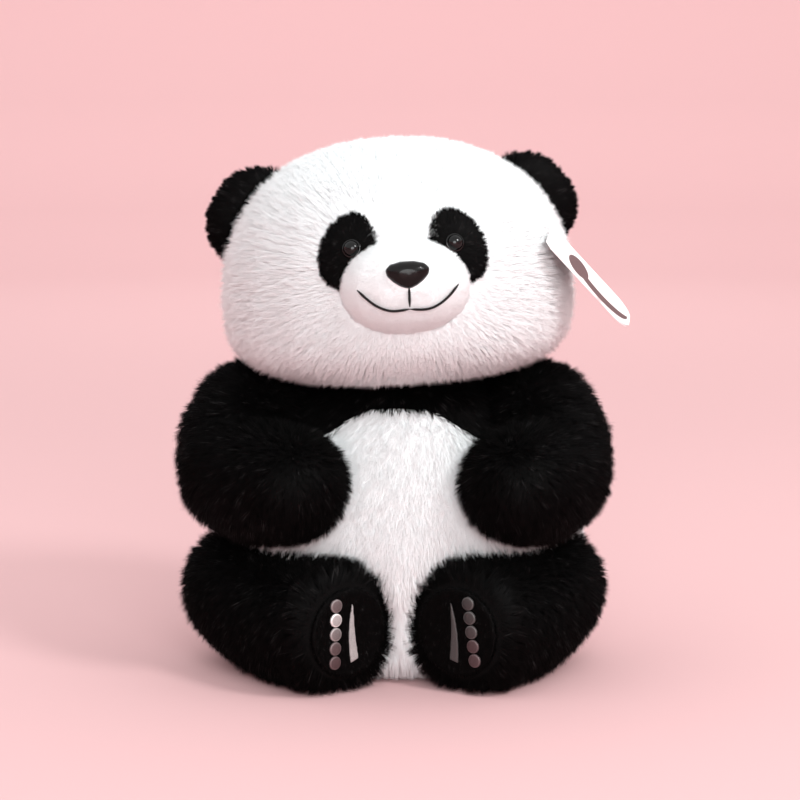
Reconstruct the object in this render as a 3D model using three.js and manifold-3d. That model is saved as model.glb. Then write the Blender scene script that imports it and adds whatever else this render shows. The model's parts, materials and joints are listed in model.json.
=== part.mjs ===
// A seated plush panda, 30 cm tall: sewn plush covers over polyester stuffing, with safety
// eyes and nose, stitched mouth, appliqued eye patches, printed sole pads and a hang tag.
// Millimetres, +Z up. The panda faces -Y. Left and right are as seen from the front, so left
// pieces are at -X.
import * as THREE from 'three';
import { mergeVertices } from 'three/addons/utils/BufferGeometryUtils.js';
import Module from 'manifold-3d';

const wasm = await Module();
wasm.setup();

// ---------------------------------------------------------------- driving dimensions
const WALL = 1.6; // thickness of every plush cover
const GAP = 0.4; // kept between pieces that lie against each other
const STUFFING_GAP = 1; // between a cover's inside and its stuffing
const HEAD_ROWS = 12; // facets of the head from top to bottom, and round it
const HEAD_SIDES = 20;
const ARM_CLEARANCE = 1.5; // between an arm and the torso it swings on
const LEG_CLEARANCE = 3.7; // round a leg in the torso's lap, for the leg to splay

// Torso: height, half width and half depth of each level, from the flat base to the neck
const TORSO_HEIGHT = 160;
const TORSO_LEVELS = [
  [0, 80, 62],
  [14, 96, 75],
  [45, 104, 80],
  [78, 102, 80],
  [108, 90, 74],
  [134, 75, 64],
  [152, 57, 52],
  [TORSO_HEIGHT, 44, 42],
];
const YOKE_FRONT_HEIGHT = 152; // lower edge of the black shoulder yoke at the chest
const YOKE_SLOPE = 12; // degrees, the yoke reaches lower down the back
const PELLET_BAG = { radius: 44, bottom: 2.6, top: 26, setBack: 22 };

// Neck and head. The head parts are drawn about the neck seam, then turned as one.
const NECK_RADIUS = 34;
const NECK_SEAM_HEIGHT = 165;
const HEAD_YAW = 4.6;
const HEAD_ROLL = -3;
const HEAD = {
  centre: [1.5, -8, 43], halfWidth: 93, halfDepth: 83, rise: 84, drop: 39,
  planRoundness: 2.2, riseRoundness: 2.3, dropRoundness: 3.5,
};
const MUZZLE = {
  centre: [0, -78, 56.5], halfWidth: 36, halfDepth: 30, rise: 26, drop: 26.5,
  planRoundness: 2.2, riseRoundness: 1.9, dropRoundness: 2.2,
};
const EYE = { side: 27, height: 76.8, radius: 5.2, dome: 4, shankRadius: 1.6, shankLength: 9 };
const WASHER = { radius: 6, thickness: 1.2, depth: 4.2 }; // depth below the pile side of the cover
const PATCH = { side: 29.6, height: 75.6, halfLength: 18.8, halfWidth: 12.2, lean: 25, thickness: 1.6 };
const NOSE = { height: 64, halfWidth: 15.5, halfHeight: 7.2, depth: 5.5, taper: 0.6, shankRadius: 2 };
const MOUTH = { low: 44.8, lowSide: 7, corner: 25, cornerRise: 10.2, top: 56.2, thread: 0.7 };
const EAR = {
  side: { left: 73, right: 76 }, height: 88.5, setBack: 1, lean: 55,
  halfBase: 26.5, halfThickness: 7.5, reach: 25, clearance: 3,
};

// Limbs, drawn at -X and mirrored for the right side: centre and radius of each station
const ARM_STATIONS = [
  { centre: [-61, 4, 146], radius: 22 },
  { centre: [-80, -11, 137], radius: 33 },
  { centre: [-86, -42, 112], radius: 32 },
];
const ARM_SHIFT = { left: 0, right: -4 }; // how much further out the arm lies
const PAW = { side: { left: 59, right: 66 }, setBack: -76, height: 112, radius: 28 };
const LEG_TURN = { left: 38, right: 33 }; // degrees that each leg points inwards
const LEG_LENGTH = { left: 81, right: 75 }; // hip centre to the start of the foot's rounded end
const HIP = { side: { left: 84, right: 79.5 }, setBack: -22, height: 43, radius: 33.5 };
const FOOT = { height: 34.4, radius: 33, endDepth: 11 };
const SOLE = { radius: 24.5, thickness: 1.4 };
const TOE = { count: 5, spacing: 7.8, radius: 3.7, side: 10, thickness: 0.8 };
const SOLE_STRIPE = { side: 1, length: 33, width: 4.6, bow: 3.4 };
const SOLE_PRINT_ROLL = { left: 2, right: 8 }; // degrees, the pads' bottom end leaning outwards

const TAIL = { centre: [0, 88, 36], halfWidth: 17, halfDepth: 15, rise: 13, drop: 13 };
const CARE_LABEL = { width: 22, length: 20, thickness: 0.7, height: 30, side: -52, setBack: 73 };

// Hang tag, about the point where its loop leaves the head
const TAG = { length: 66, width: 38, thickness: 1.2, lean: 40, turn: 15, cornerRadius: 12 };
const TAG_ANCHOR = [81, -54, 78]; // in the head's own frame
const TAG_HOLE = { radius: 1.8, inset: 5 };
const LOOP = { radius: 0.55, width: 7 };

// ---------------------------------------------------------------- materials
const white = { color: 0xf4f2f1, roughness: 0.95, metalness: 0 };
const black = { color: 0x151314, roughness: 0.92, metalness: 0 };
const shortWhite = { color: 0xefedec, roughness: 0.9, metalness: 0 };
const shortBlack = { color: 0x121112, roughness: 0.85, metalness: 0 };
const stuffing = { color: 0xfaf8f2, roughness: 1, metalness: 0 };
const glossBlack = { color: 0x080707, roughness: 0.12, metalness: 0 };
const clearPlastic = { color: 0xe8e8ea, roughness: 0.35, metalness: 0 };
const blackThread = { color: 0x0d0b0b, roughness: 0.7, metalness: 0 };
const whiteThread = { color: 0xe9e6e3, roughness: 0.75, metalness: 0 };
const soleGrey = { color: 0x8e8782, roughness: 0.55, metalness: 0 };
const paper = { color: 0xfbf9f8, roughness: 0.6, metalness: 0 };

// ---------------------------------------------------------------- geometry helpers
const radians = THREE.MathUtils.degToRad;
const signedPower = (value, power) => Math.sign(value) * Math.abs(value) ** power;

function solidOf(geometry) {
  const bare = geometry.clone();
  bare.deleteAttribute('normal');
  bare.deleteAttribute('uv');
  const merged = mergeVertices(bare, 1e-4);
  return new wasm.Manifold(new wasm.Mesh({
    numProp: 3,
    vertProperties: merged.attributes.position.array,
    triVerts: Uint32Array.from(merged.index.array),
  }));
}

function geometryOf(solid) {
  const { vertProperties, triVerts } = solid.getMesh();
  const geometry = new THREE.BufferGeometry();
  geometry.setAttribute('position', new THREE.BufferAttribute(vertProperties, 3));
  geometry.setIndex(new THREE.BufferAttribute(triVerts, 1));
  geometry.computeVertexNormals();
  return geometry;
}

// A closed skin of rings between two poles. pointAt(u, v) runs from pole to pole along u and
// round the ring along v, counter-clockwise seen from the u = 0 pole.
function closedSkin(rows, sides, pointAt) {
  const positions = [...pointAt(0, 0).toArray()];
  for (let row = 1; row < rows; row += 1) {
    for (let side = 0; side < sides; side += 1) {
      positions.push(...pointAt(row / rows, side / sides).toArray());
    }
  }
  positions.push(...pointAt(1, 0).toArray());
  const at = (row, side) => 1 + (row - 1) * sides + (side % sides);
  const farPole = positions.length / 3 - 1;
  const index = [];
  for (let side = 0; side < sides; side += 1) {
    index.push(0, at(1, side), at(1, side + 1));
    for (let row = 1; row < rows - 1; row += 1) {
      index.push(at(row, side), at(row + 1, side), at(row + 1, side + 1));
      index.push(at(row, side), at(row + 1, side + 1), at(row, side + 1));
    }
    index.push(at(rows - 1, side), farPole, at(rows - 1, side + 1));
  }
  const geometry = new THREE.BufferGeometry();
  geometry.setAttribute('position', new THREE.Float32BufferAttribute(positions, 3));
  geometry.setIndex(index);
  return geometry;
}

// A bun is an ellipsoid squared off by its roundness powers, with its own height above and
// below its widest level.
function bunGeometry(bun, inset = 0, rows = 10, sides = 16) {
  const { planRoundness = 2, riseRoundness = 2, dropRoundness = 2 } = bun;
  return closedSkin(rows, sides, (u, v) => {
    const upper = u < 0.5;
    const roundness = upper ? riseRoundness : dropRoundness;
    const height = (upper ? bun.rise : bun.drop) - inset;
    const spread = Math.sin(Math.PI * u) ** (2 / roundness);
    const turn = 2 * Math.PI * v;
    return new THREE.Vector3(
      (bun.halfWidth - inset) * spread * signedPower(Math.cos(turn), 2 / planRoundness),
      (bun.halfDepth - inset) * spread * signedPower(Math.sin(turn), 2 / planRoundness),
      height * signedPower(Math.cos(Math.PI * u), 2 / roundness),
    ).add(new THREE.Vector3(...bun.centre));
  });
}
const bunSolid = (...details) => solidOf(bunGeometry(...details));

// The point on the front of a bun at a place across and up, lifted off it, and the way it faces
function onFront(bun, x, z, lift = 0) {
  const surfaceAt = (across, up) => {
    const high = up - bun.centre[2];
    const height = high > 0 ? bun.rise : bun.drop;
    const roundness = high > 0 ? bun.riseRoundness : bun.dropRoundness;
    const spread = (1 - Math.abs(high / height) ** roundness) ** (1 / roundness);
    const share = spread ** bun.planRoundness
      - Math.abs((across - bun.centre[0]) / bun.halfWidth) ** bun.planRoundness;
    const deep = bun.halfDepth * share ** (1 / bun.planRoundness);
    return new THREE.Vector3(across, bun.centre[1] - deep, up);
  };
  const step = 0.05;
  const point = surfaceAt(x, z);
  const acrossStep = surfaceAt(x + step, z).sub(point);
  const upStep = surfaceAt(x, z + step).sub(point);
  const facing = acrossStep.cross(upStep).normalize();
  return { point: point.addScaledVector(facing, lift), facing };
}

// A limb: rings along a spline through its stations, with a round start and a round or
// flattened end. endDepth is how far the end cap reaches, and endRoundness squares it off.
function limbSolid(stations, inset, { endDepth = null, endRoundness = 2, rows = 12, sides = 12 } = {}) {
  const path = new THREE.CatmullRomCurve3(stations.map(({ centre }) => new THREE.Vector3(...centre)));
  const girth = new THREE.SplineCurve(stations.map(({ radius }, i) => new THREE.Vector2(i, radius)));
  const capShare = 3 / rows;
  return solidOf(closedSkin(rows, sides, (u, v) => {
    const along = THREE.MathUtils.clamp((u - capShare) / (1 - 2 * capShare), 0, 1);
    const radius = girth.getPoint(along).y - inset;
    const tangent = path.getTangent(along);
    const across = new THREE.Vector3(0, 0, 1).cross(tangent).normalize();
    const upwards = tangent.clone().cross(across);
    const capTurn = Math.min(u, 1 - u, capShare) / capShare * Math.PI / 2;
    const ending = u > 0.5;
    const roundness = ending ? endRoundness : 2;
    const depth = ending && endDepth !== null ? endDepth - inset : radius;
    const ring = radius * Math.sin(capTurn) ** (2 / roundness);
    const overhang = depth * signedPower(Math.cos(capTurn), 2 / roundness) * (ending ? 1 : -1);
    const turn = -2 * Math.PI * v;
    return path.getPoint(along)
      .addScaledVector(tangent, overhang)
      .addScaledVector(across, ring * Math.cos(turn))
      .addScaledVector(upwards, ring * Math.sin(turn));
  }));
}

const mirrored = (solid) => solid.mirror([1, 0, 0]);

// A turned piece: its profile runs along Y from its front (at the lowest Y) to its back
function turnedGeometry(profile, sides) {
  const points = profile.map(([radius, along]) => new THREE.Vector2(radius, along));
  return new THREE.LatheGeometry(points, sides);
}

// Stands a turned piece, drawn along +Y, on a point so that +Y runs along the given way
function stoodAlong(geometry, point, way) {
  const turn = new THREE.Quaternion().setFromUnitVectors(new THREE.Vector3(0, 1, 0), way);
  const place = new THREE.Matrix4().compose(point, turn, new THREE.Vector3(1, 1, 1));
  return geometry.clone().applyMatrix4(place);
}

// A round bar from one point to another
function bar(start, end, radius, sides = 14) {
  const way = end.clone().sub(start);
  const geometry = new THREE.CylinderGeometry(radius, radius, way.length(), sides);
  const middle = start.clone().lerp(end, 0.5);
  return solidOf(stoodAlong(geometry, middle, way.normalize()));
}

function tube(points, radius, steps, sides = 6) {
  const section = new THREE.Shape();
  section.absarc(0, 0, radius, 0, 2 * Math.PI);
  const extrudePath = new THREE.CatmullRomCurve3(points);
  return new THREE.ExtrudeGeometry(section, {
    steps, curveSegments: sides / 2, extrudePath, bevelEnabled: false,
  });
}

// ---------------------------------------------------------------- scene
const panda = new THREE.Group();
const headGroup = new THREE.Group();
headGroup.position.set(0, 0, NECK_SEAM_HEIGHT);
headGroup.rotation.set(0, radians(HEAD_ROLL), radians(HEAD_YAW), 'YZX');
panda.add(headGroup);

function addPiece(name, shape, finish, parent = panda) {
  const geometry = shape.isBufferGeometry ? shape : geometryOf(shape);
  const mesh = new THREE.Mesh(geometry, new THREE.MeshStandardMaterial(finish));
  mesh.name = name;
  parent.add(mesh);
}

// ---------------------------------------------------------------- legs
const SIDES = ['left', 'right'];
const sided = (side, solid) => (side === 'left' ? solid : mirrored(solid));

// The way a side's leg points and its hip and ankle, all drawn at -X
function legLine(side) {
  const turn = radians(LEG_TURN[side]);
  const way = new THREE.Vector3(Math.sin(turn), -Math.cos(turn), 0);
  const hip = new THREE.Vector3(-HIP.side[side], HIP.setBack, HIP.height);
  const ankle = hip.clone().addScaledVector(way, LEG_LENGTH[side]).setZ(FOOT.height);
  return { way, hip, ankle };
}

function legSolid(side, inset, detail = {}) {
  const { hip, ankle } = legLine(side);
  const knee = hip.clone().lerp(ankle, 0.5).setZ(FOOT.height); // so the foot ends upright
  return limbSolid([
    { centre: hip.toArray(), radius: HIP.radius },
    { centre: knee.toArray(), radius: (HIP.radius + FOOT.radius) / 2 + 1 },
    { centre: ankle.toArray(), radius: FOOT.radius },
  ], inset, { endDepth: FOOT.endDepth, endRoundness: 4, rows: 11, sides: 14, ...detail });
}

// ---------------------------------------------------------------- torso
const torsoLevels = new THREE.CatmullRomCurve3(
  TORSO_LEVELS.map(([height, halfWidth, halfDepth]) => new THREE.Vector3(halfWidth, halfDepth, height)),
);

function plainTorso(inset, rows = 9, sides = 20) {
  return solidOf(closedSkin(rows, sides, (u, v) => {
    const along = THREE.MathUtils.clamp((1 - u - 1 / rows) / (1 - 2 / rows), 0, 1);
    const level = torsoLevels.getPoint(along);
    const spread = u === 0 || u === 1 ? 0 : 1;
    const turn = 2 * Math.PI * v;
    return new THREE.Vector3(
      spread * (level.x - inset) * Math.cos(turn),
      spread * (level.y - inset) * Math.sin(turn),
      THREE.MathUtils.lerp(inset, TORSO_HEIGHT - inset, level.z / TORSO_HEIGHT),
    );
  }));
}

// The torso with a lap hollowed out where the legs lie
function torsoSolid(inset) {
  return SIDES.reduce((torso, side) => {
    const leg = legSolid(side, -LEG_CLEARANCE - inset, { rows: 9, sides: 12 });
    return torso.subtract(sided(side, leg));
  }, plainTorso(inset));
}

// Everything above a level that falls towards the back
function aboveSlope(frontHeight) {
  const size = 600;
  const block = new THREE.BoxGeometry(size, size, size);
  block.translate(0, 0, size / 2);
  block.rotateX(-radians(YOKE_SLOPE));
  block.translate(0, -TORSO_LEVELS[5][2], frontHeight);
  return solidOf(block);
}

const neckOpening = bar(
  new THREE.Vector3(0, 0, TORSO_HEIGHT - 12),
  new THREE.Vector3(0, 0, TORSO_HEIGHT + 12),
  NECK_RADIUS + 2,
  20,
);
const torsoShell = torsoSolid(0).subtract(torsoSolid(WALL)).subtract(neckOpening);
addPiece('torso_cover', torsoShell.subtract(aboveSlope(YOKE_FRONT_HEIGHT)), white);
addPiece('shoulder_yoke', torsoShell.intersect(aboveSlope(YOKE_FRONT_HEIGHT + GAP)), black);

const bagPlace = new THREE.Vector3(0, PELLET_BAG.setBack, 0);
const atBag = (height) => bagPlace.clone().setZ(height);
const pelletBag = turnedGeometry([
  [0, PELLET_BAG.bottom], [PELLET_BAG.radius - 6, PELLET_BAG.bottom],
  [PELLET_BAG.radius, PELLET_BAG.bottom + 8], [PELLET_BAG.radius - 3, PELLET_BAG.top - 5],
  [PELLET_BAG.radius - 14, PELLET_BAG.top], [0, PELLET_BAG.top],
], 20);
addPiece('pellet_bag', stoodAlong(pelletBag, bagPlace, new THREE.Vector3(0, 0, 1)), stuffing);

const bagPocket = bar(atBag(-PELLET_BAG.top), atBag(PELLET_BAG.top + GAP), PELLET_BAG.radius + 1, 20);
const neckSocket = bar(
  new THREE.Vector3(0, 0, TORSO_HEIGHT - 17),
  new THREE.Vector3(0, 0, TORSO_HEIGHT + 14),
  NECK_RADIUS + 3,
  20,
);
const torsoStuffing = torsoSolid(WALL + STUFFING_GAP).subtract(bagPocket).subtract(neckSocket);
addPiece('torso_stuffing', torsoStuffing, stuffing);

addPiece('tail', bunSolid(TAIL, 0, 8, 14).subtract(plainTorso(-GAP)), white);

const labelShape = new THREE.BoxGeometry(CARE_LABEL.width, CARE_LABEL.length, CARE_LABEL.thickness);
labelShape.translate(CARE_LABEL.side, CARE_LABEL.setBack, CARE_LABEL.height);
addPiece('care_label', solidOf(labelShape).subtract(plainTorso(-GAP)), paper);

// ---------------------------------------------------------------- limbs
// The torso's sides lean, so the arm's flat side stands off it by more than its wall
function armSolid(side, inset) {
  const paw = { centre: [-PAW.side[side], PAW.setBack, PAW.height], radius: PAW.radius };
  const upper = ARM_STATIONS.map(({ centre: [x, y, z], radius }, i) => (
    { centre: [x - (i > 0 ? ARM_SHIFT[side] : 0), y, z], radius }
  ));
  return limbSolid([...upper, paw], inset)
    .subtract(plainTorso(-ARM_CLEARANCE - 1.6 * inset));
}

// The hole in a limb's cover where its stuffing goes in, on the side sewn to the torso
const armOpening = bar(new THREE.Vector3(-38, 4, 141), new THREE.Vector3(-73, 0, 141), 9, 12);
const legOpening = bar(new THREE.Vector3(-55, 10, 44), new THREE.Vector3(-84, -14, 40), 10, 12);

// The sole's pad, five toe pads and a long pad, drawn in the sole's plane: +X across it
// towards the panda's middle, +Y up it, +Z out of it
function solePieces(roll) {
  const pieces = [];
  const disc = turnedGeometry([
    [0, 0], [SOLE.radius, 0], [SOLE.radius - 0.6, SOLE.thickness], [0, SOLE.thickness],
  ], 24).rotateX(Math.PI / 2);
  pieces.push(['sole', disc.translate(0, 0, GAP), shortBlack]);
  const padLift = GAP * 2 + SOLE.thickness;
  for (let toe = 0; toe < TOE.count; toe += 1) {
    const pad = turnedGeometry([
      [0, 0], [TOE.radius, 0], [TOE.radius * 0.8, TOE.thickness], [0, TOE.thickness * 1.2],
    ], 12).rotateX(Math.PI / 2);
    const up = (toe - (TOE.count - 1) / 2) * TOE.spacing;
    pad.translate(-TOE.side, up, padLift).rotateZ(-radians(roll));
    pieces.push([`toe_${toe + 1}`, pad, soleGrey]);
  }
  const crescent = new THREE.Shape();
  const { side, length, width, bow } = SOLE_STRIPE;
  crescent.moveTo(side, length / 2);
  crescent.quadraticCurveTo(side - bow, 0, side, -length / 2);
  crescent.lineTo(side + width, -length / 2 + 2);
  crescent.quadraticCurveTo(side + width - bow, 0, side, length / 2);
  const stripe = new THREE.ExtrudeGeometry(crescent, {
    depth: TOE.thickness, bevelEnabled: false, curveSegments: 8,
  });
  pieces.push(['stripe', stripe.translate(0, 0, padLift).rotateZ(-radians(roll)), soleGrey]);
  return pieces;
}

// Where the sole's plane stands on a side's foot, still at -X
function soleMatrix(side) {
  const { way, ankle } = legLine(side);
  return new THREE.Matrix4().makeBasis(
    new THREE.Vector3(-way.y, way.x, 0),
    new THREE.Vector3(0, 0, 1),
    way,
  ).setPosition(ankle.clone().addScaledVector(way, FOOT.endDepth));
}

for (const side of SIDES) {
  const armBag = armSolid(side, 0).subtract(armSolid(side, WALL));
  const armStuffing = armSolid(side, WALL + STUFFING_GAP).subtract(armBag);
  const legCover = legSolid(side, 0).subtract(legSolid(side, WALL)).subtract(legOpening);
  addPiece(`${side}_arm_cover`, sided(side, armBag.subtract(armOpening)), black);
  addPiece(`${side}_arm_stuffing`, sided(side, armStuffing), stuffing);
  addPiece(`${side}_leg_cover`, sided(side, legCover), black);
  addPiece(`${side}_leg_stuffing`, sided(side, legSolid(side, WALL + STUFFING_GAP)), stuffing);
  for (const [name, shape, finish] of solePieces(SOLE_PRINT_ROLL[side])) {
    const solid = solidOf(shape.applyMatrix4(soleMatrix(side)));
    addPiece(`${side}_foot_${name}`, sided(side, solid), finish);
  }
}

// ---------------------------------------------------------------- neck
const neckStuffing = bar(
  new THREE.Vector3(0, 0, TORSO_HEIGHT - 13),
  new THREE.Vector3(0, 0, TORSO_HEIGHT + 19),
  NECK_RADIUS,
  20,
);
addPiece('neck_stuffing', neckStuffing, stuffing);
const seamRing = [0, 1, 2, 3, 4, 5, 6].map((i) => {
  const turn = i / 6 * 2 * Math.PI;
  return [NECK_RADIUS + 2 + Math.cos(turn), NECK_SEAM_HEIGHT + Math.sin(turn)];
});
addPiece('neck_seam_thread', stoodAlong(
  turnedGeometry(seamRing, 18), new THREE.Vector3(), new THREE.Vector3(0, 0, 1),
), whiteThread);

// ---------------------------------------------------------------- head
const headAt = (inset) => bunSolid(HEAD, inset, HEAD_ROWS, HEAD_SIDES);
const headNeckHole = bar(new THREE.Vector3(0, 0, -10), new THREE.Vector3(0, 0, 17), NECK_RADIUS + 3, 20);
const eyes = [-1, 1].map((side) => ({
  name: side < 0 ? 'left' : 'right', side, ...onFront(HEAD, side * EYE.side, EYE.height),
}));
const noseSeat = onFront(MUZZLE, 0, NOSE.height);

let headCover = headAt(0).subtract(headAt(WALL)).subtract(headNeckHole);
let headStuffing = headAt(WALL + STUFFING_GAP).subtract(headNeckHole);
for (const { point, facing } of eyes) {
  const deep = point.clone().addScaledVector(facing, -EYE.shankLength - 3);
  const ahead = point.clone().addScaledVector(facing, 3);
  headCover = headCover.subtract(bar(ahead, deep, EYE.shankRadius + 0.3, 8));
  headStuffing = headStuffing.subtract(bar(point, deep, WASHER.radius + 0.6, 12));
}
addPiece('head_cover', headCover, white, headGroup);
addPiece('head_stuffing', headStuffing, stuffing, headGroup);

const muzzleAt = (inset) => bunSolid(MUZZLE, inset);
const headClear = headAt(-GAP);
const noseDeep = noseSeat.point.clone().addScaledVector(noseSeat.facing, -14);
const noseOut = noseSeat.point.clone().addScaledVector(noseSeat.facing, 3);
const muzzleCover = muzzleAt(0).subtract(headClear).subtract(muzzleAt(WALL))
  .subtract(bar(noseOut, noseDeep, NOSE.shankRadius + 0.3, 8));
addPiece('muzzle_cover', muzzleCover, shortWhite, headGroup);
const muzzleStuffing = muzzleAt(WALL + STUFFING_GAP).subtract(headClear)
  .subtract(bar(noseSeat.point, noseDeep, WASHER.radius + 0.6, 12));
addPiece('muzzle_stuffing', muzzleStuffing, stuffing, headGroup);

// An eye patch follows the head: rings out to its edge on the pile side and back underneath
function eyePatch(side) {
  const shares = [0, 0.5, 1, 1, 0.5, 0];
  const rows = shares.length - 1;
  const lean = radians(PATCH.lean) * side;
  const skin = closedSkin(rows, 14, (u, v) => {
    const share = shares[Math.round(u * rows)];
    const turn = 2 * Math.PI * v;
    const wide = share * PATCH.halfWidth * Math.cos(turn);
    const tall = share * PATCH.halfLength * Math.sin(turn);
    const x = side * PATCH.side + wide * Math.cos(lean) - tall * Math.sin(lean);
    const z = PATCH.height + wide * Math.sin(lean) + tall * Math.cos(lean);
    return onFront(HEAD, x, z, GAP + (u < 0.5 ? PATCH.thickness : 0)).point;
  });
  return solidOf(skin).subtract(muzzleAt(-GAP));
}

const washerRing = (bore) => turnedGeometry([
  [bore, 0], [bore, -WASHER.thickness], [WASHER.radius, -WASHER.thickness], [WASHER.radius, 0], [bore, 0],
], 14);
const patchTop = GAP * 2 + PATCH.thickness;
const eyeProfile = [
  [0, -EYE.shankLength], [EYE.shankRadius, -EYE.shankLength], [EYE.shankRadius, patchTop],
  [EYE.radius, patchTop], [EYE.radius * 0.9, patchTop + EYE.dome * 0.45],
  [EYE.radius * 0.55, patchTop + EYE.dome * 0.85], [0, patchTop + EYE.dome],
];
for (const { name, side, point, facing } of eyes) {
  const shankHole = bar(
    point.clone().addScaledVector(facing, 6), point.clone().addScaledVector(facing, -3),
    EYE.shankRadius + 0.3, 8,
  );
  addPiece(`${name}_eye_patch`, eyePatch(side).subtract(shankHole), shortBlack, headGroup);
  addPiece(`${name}_eye`, stoodAlong(turnedGeometry(eyeProfile, 16), point, facing), glossBlack, headGroup);
  const washerPlace = point.clone().addScaledVector(facing, -WASHER.depth);
  addPiece(
    `${name}_eye_washer`, stoodAlong(washerRing(EYE.shankRadius + 0.3), washerPlace, facing),
    clearPlastic, headGroup,
  );
}

// Nose: a rounded triangle, narrow at the bottom, on a shank through the muzzle
const noseSkin = closedSkin(8, 14, (u, v) => {
  const turn = 2 * Math.PI * v;
  const spread = Math.sin(Math.PI * u) ** 0.8;
  const up = spread * Math.sin(turn) * NOSE.halfHeight;
  const narrowing = 1 - NOSE.taper * (1 - up / NOSE.halfHeight) / 2;
  const across = spread * Math.cos(turn) * NOSE.halfWidth * narrowing;
  return new THREE.Vector3(across, -Math.cos(Math.PI * u) * NOSE.depth, up);
});
const nosePlace = new THREE.Matrix4().makeTranslation(...noseSeat.point.toArray());
const noseShankEnd = noseDeep.clone().addScaledVector(noseSeat.facing, 3);
const noseShank = bar(noseSeat.point, noseShankEnd, NOSE.shankRadius, 10);
const noseBody = solidOf(noseSkin.applyMatrix4(nosePlace))
  .subtract(muzzleAt(-0.3)).add(noseShank);
addPiece('nose', noseBody, glossBlack, headGroup);
const noseWasherPlace = noseSeat.point.clone().addScaledVector(noseSeat.facing, -WASHER.depth);
addPiece(
  'nose_washer', stoodAlong(washerRing(NOSE.shankRadius + 0.3), noseWasherPlace, noseSeat.facing),
  clearPlastic, headGroup,
);

// Mouth: one upright stitch and two smiling curves, laid on the muzzle
const threadLift = MOUTH.thread + GAP;
const mouthCurve = (side) => Array.from({ length: 9 }, (_, i) => {
  const away = THREE.MathUtils.lerp(1.1, MOUTH.corner, i / 8);
  const rise = ((away - MOUTH.lowSide) / (MOUTH.corner - MOUTH.lowSide)) ** 2 * MOUTH.cornerRise;
  return onFront(MUZZLE, side * away, MOUTH.low + rise, threadLift).point;
});
const philtrum = Array.from({ length: 4 }, (_, i) => {
  const height = THREE.MathUtils.lerp(MOUTH.top, MOUTH.low + 3.4, i / 3);
  return onFront(MUZZLE, 0, height, threadLift).point;
});
addPiece('mouth_stitch_centre', tube(philtrum, MOUTH.thread, 4), blackThread, headGroup);
addPiece('mouth_stitch_left', tube(mouthCurve(-1), MOUTH.thread, 9), blackThread, headGroup);
addPiece('mouth_stitch_right', tube(mouthCurve(1), MOUTH.thread, 9), blackThread, headGroup);

// ---------------------------------------------------------------- ears
const earBun = (inset) => bunGeometry({
  centre: [0, 0, 0], halfWidth: EAR.halfBase, halfDepth: EAR.halfThickness,
  rise: EAR.reach, drop: EAR.reach / 2, planRoundness: 2.2, riseRoundness: 2.3,
}, inset, 10, 16);
for (const side of [-1, 1]) {
  const name = side < 0 ? 'left' : 'right';
  const place = new THREE.Matrix4().makeRotationY(radians(EAR.lean) * side)
    .setPosition(side * EAR.side[name], EAR.setBack, EAR.height);
  const earAt = (inset) => solidOf(earBun(inset).applyMatrix4(place));
  const headRoom = headAt(-EAR.clearance);
  addPiece(`${name}_ear_cover`, earAt(0).subtract(headRoom).subtract(earAt(WALL)), black, headGroup);
  addPiece(`${name}_ear_wadding`, earAt(WALL + STUFFING_GAP).subtract(headRoom), stuffing, headGroup);
}

// ---------------------------------------------------------------- hang tag
// The tag is drawn hanging down from its hole, its face towards +Z, then leaned on the cheek
const tagGroup = new THREE.Group();
tagGroup.position.set(...TAG_ANCHOR);
const tagDown = new THREE.Vector3(Math.sin(radians(TAG.lean)), 0, -Math.cos(radians(TAG.lean)));
const tagOut = new THREE.Vector3(Math.cos(radians(TAG.lean)), 0, Math.sin(radians(TAG.lean)))
  .multiplyScalar(Math.cos(radians(TAG.turn)))
  .add(new THREE.Vector3(0, -Math.sin(radians(TAG.turn)), 0));
const tagAcross = tagOut.clone().cross(tagDown).normalize();
tagGroup.quaternion.setFromRotationMatrix(new THREE.Matrix4().makeBasis(
  tagAcross, tagDown.clone().negate(), tagAcross.clone().cross(tagDown.clone().negate()),
));
headGroup.add(tagGroup);

const card = new THREE.Shape();
const halfCard = TAG.width / 2;
card.moveTo(-halfCard + 4, TAG_HOLE.inset);
card.lineTo(halfCard - 4, TAG_HOLE.inset);
card.lineTo(halfCard, TAG_HOLE.inset - 4);
card.absarc(
  halfCard - TAG.cornerRadius, TAG_HOLE.inset - TAG.length + TAG.cornerRadius,
  TAG.cornerRadius, 0, -Math.PI / 2, true,
);
card.absarc(
  TAG.cornerRadius - halfCard, TAG_HOLE.inset - TAG.length + TAG.cornerRadius,
  TAG.cornerRadius, -Math.PI / 2, -Math.PI, true,
);
card.lineTo(-halfCard, TAG_HOLE.inset - 4);
const cardSheet = new THREE.ExtrudeGeometry(card, {
  depth: TAG.thickness, bevelEnabled: false, curveSegments: 6,
}).translate(0, -LOOP.width, -TAG.thickness / 2);
const cardHole = bar(
  new THREE.Vector3(0, -LOOP.width, -TAG.thickness), new THREE.Vector3(0, -LOOP.width, TAG.thickness),
  TAG_HOLE.radius, 12,
);
addPiece('tag_card', solidOf(cardSheet).subtract(cardHole), paper, tagGroup);

// The plastic loop: from the anchor in the fur through the card's hole and back
const loopPoints = [
  [0, 2.4, -1.6], [0, 0, -3.2], [0, -4.5, -2.4], [0, -LOOP.width, 0],
  [0, -4.5, 2.4], [0, 0, 3.2], [0, 2.4, 1.6],
].map(([x, y, z]) => new THREE.Vector3(x, y, z));
addPiece('tag_loop', tube(loopPoints, LOOP.radius, 12), clearPlastic, tagGroup);

export default panda;
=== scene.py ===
import json
import math

import bmesh
import bpy
import numpy as np
from mathutils import Matrix, Vector
from mathutils.bvhtree import BVHTree


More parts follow.
